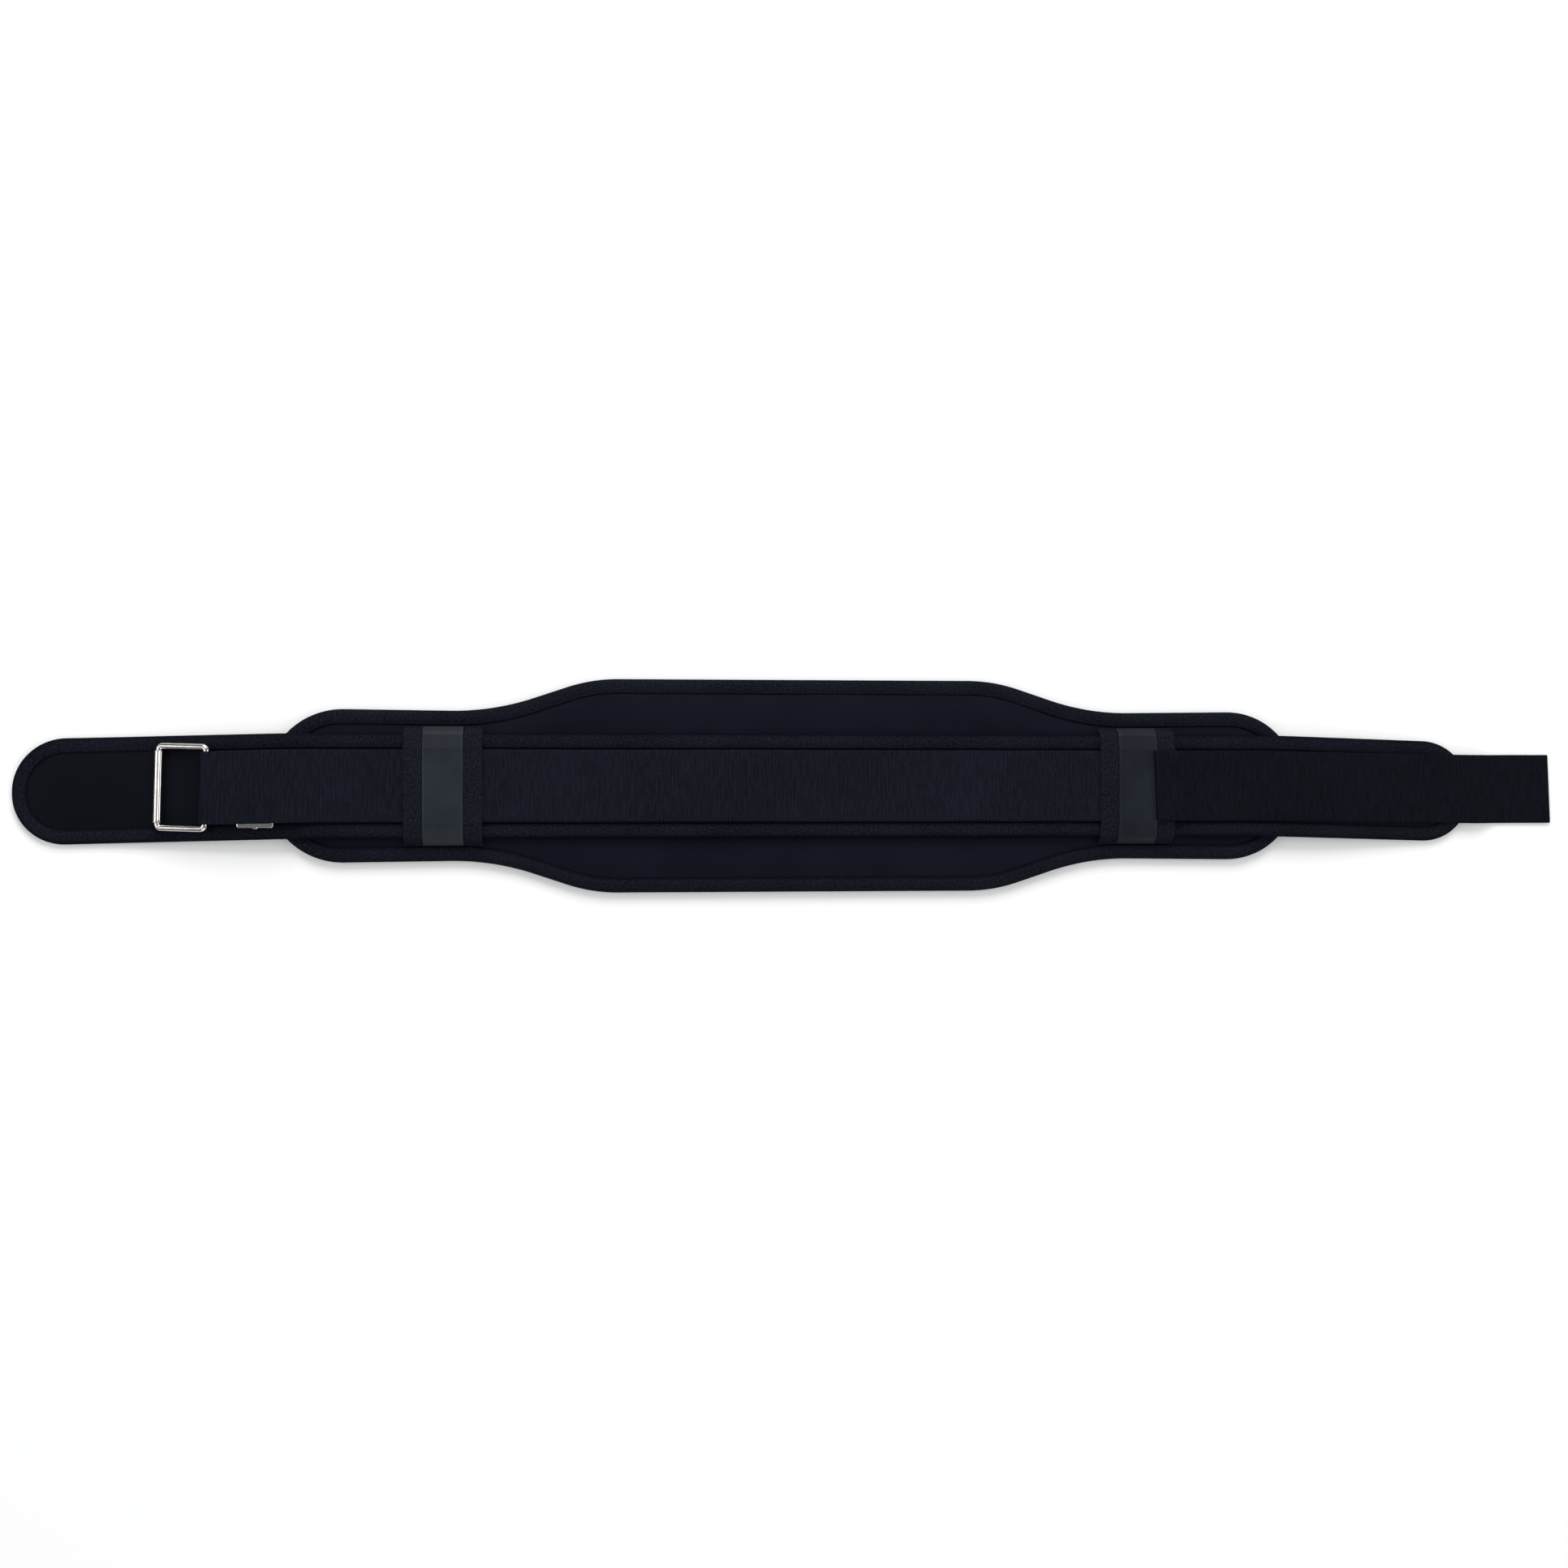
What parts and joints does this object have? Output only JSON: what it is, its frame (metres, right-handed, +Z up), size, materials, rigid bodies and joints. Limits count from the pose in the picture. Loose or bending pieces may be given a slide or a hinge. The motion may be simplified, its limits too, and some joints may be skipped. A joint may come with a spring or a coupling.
{
  "type": "weightlifting belt",
  "caption": "Padded nylon lifting belt laid flat: shaped foam back pad, long foam band held by two striped keepers, webbing strap round a steel roller ring, loose closing strap.",
  "frame": {"origin": "on the surface the belt lies on, under the middle of its whole length and width", "axes": "+X along the belt, from the rounded tongue to the loose end of the closing strap; +Y across it; +Z up, out of its outer face"},
  "size_m": [1.1135, 0.1524, 0.0222],
  "materials": {
    "pad_fabric": "smooth satin nylon, near black with a blue cast",
    "band_fabric": "smooth matt nylon, near black",
    "binding_tape": "matt woven tape, near black",
    "webbing": "matt webbing with fine crosswise ribs, near black",
    "keeper_tape": "matt woven tape, near black",
    "stripe_rubber": "smooth dark grey, slightly glossy",
    "polished_steel": "bright nickel-plated steel"
  },
  "bodies": {
    "belt": {"back_pad": "pad_fabric", "back_pad_binding": "binding_tape", "belt_band": "band_fabric", "belt_band_binding": "binding_tape", "long_strap": "webbing", "closing_strap": "webbing", "keeper_left": "keeper_tape", "keeper_right": "keeper_tape", "keeper_stripe_left": "stripe_rubber", "keeper_stripe_right": "stripe_rubber", "slide": "polished_steel"},
    "ring": {"ring_frame": "polished_steel"},
    "roller": {"roller": "polished_steel"}
  },
  "joints": [
    {"name": "ring_fold", "type": "hinge", "parent": "belt", "child": "ring", "pos_m": [-0.42305, -0.00151, 0.01555], "axis": [0.0262, 0.9997, 0], "range_deg": [0, 165]},
    {"name": "roller_spin", "type": "hinge", "parent": "ring", "child": "roller", "pos_m": [-0.45606, -0.00064, 0.01123], "axis": [0.0262, 0.9997, 0], "continuous": true}
  ]
}
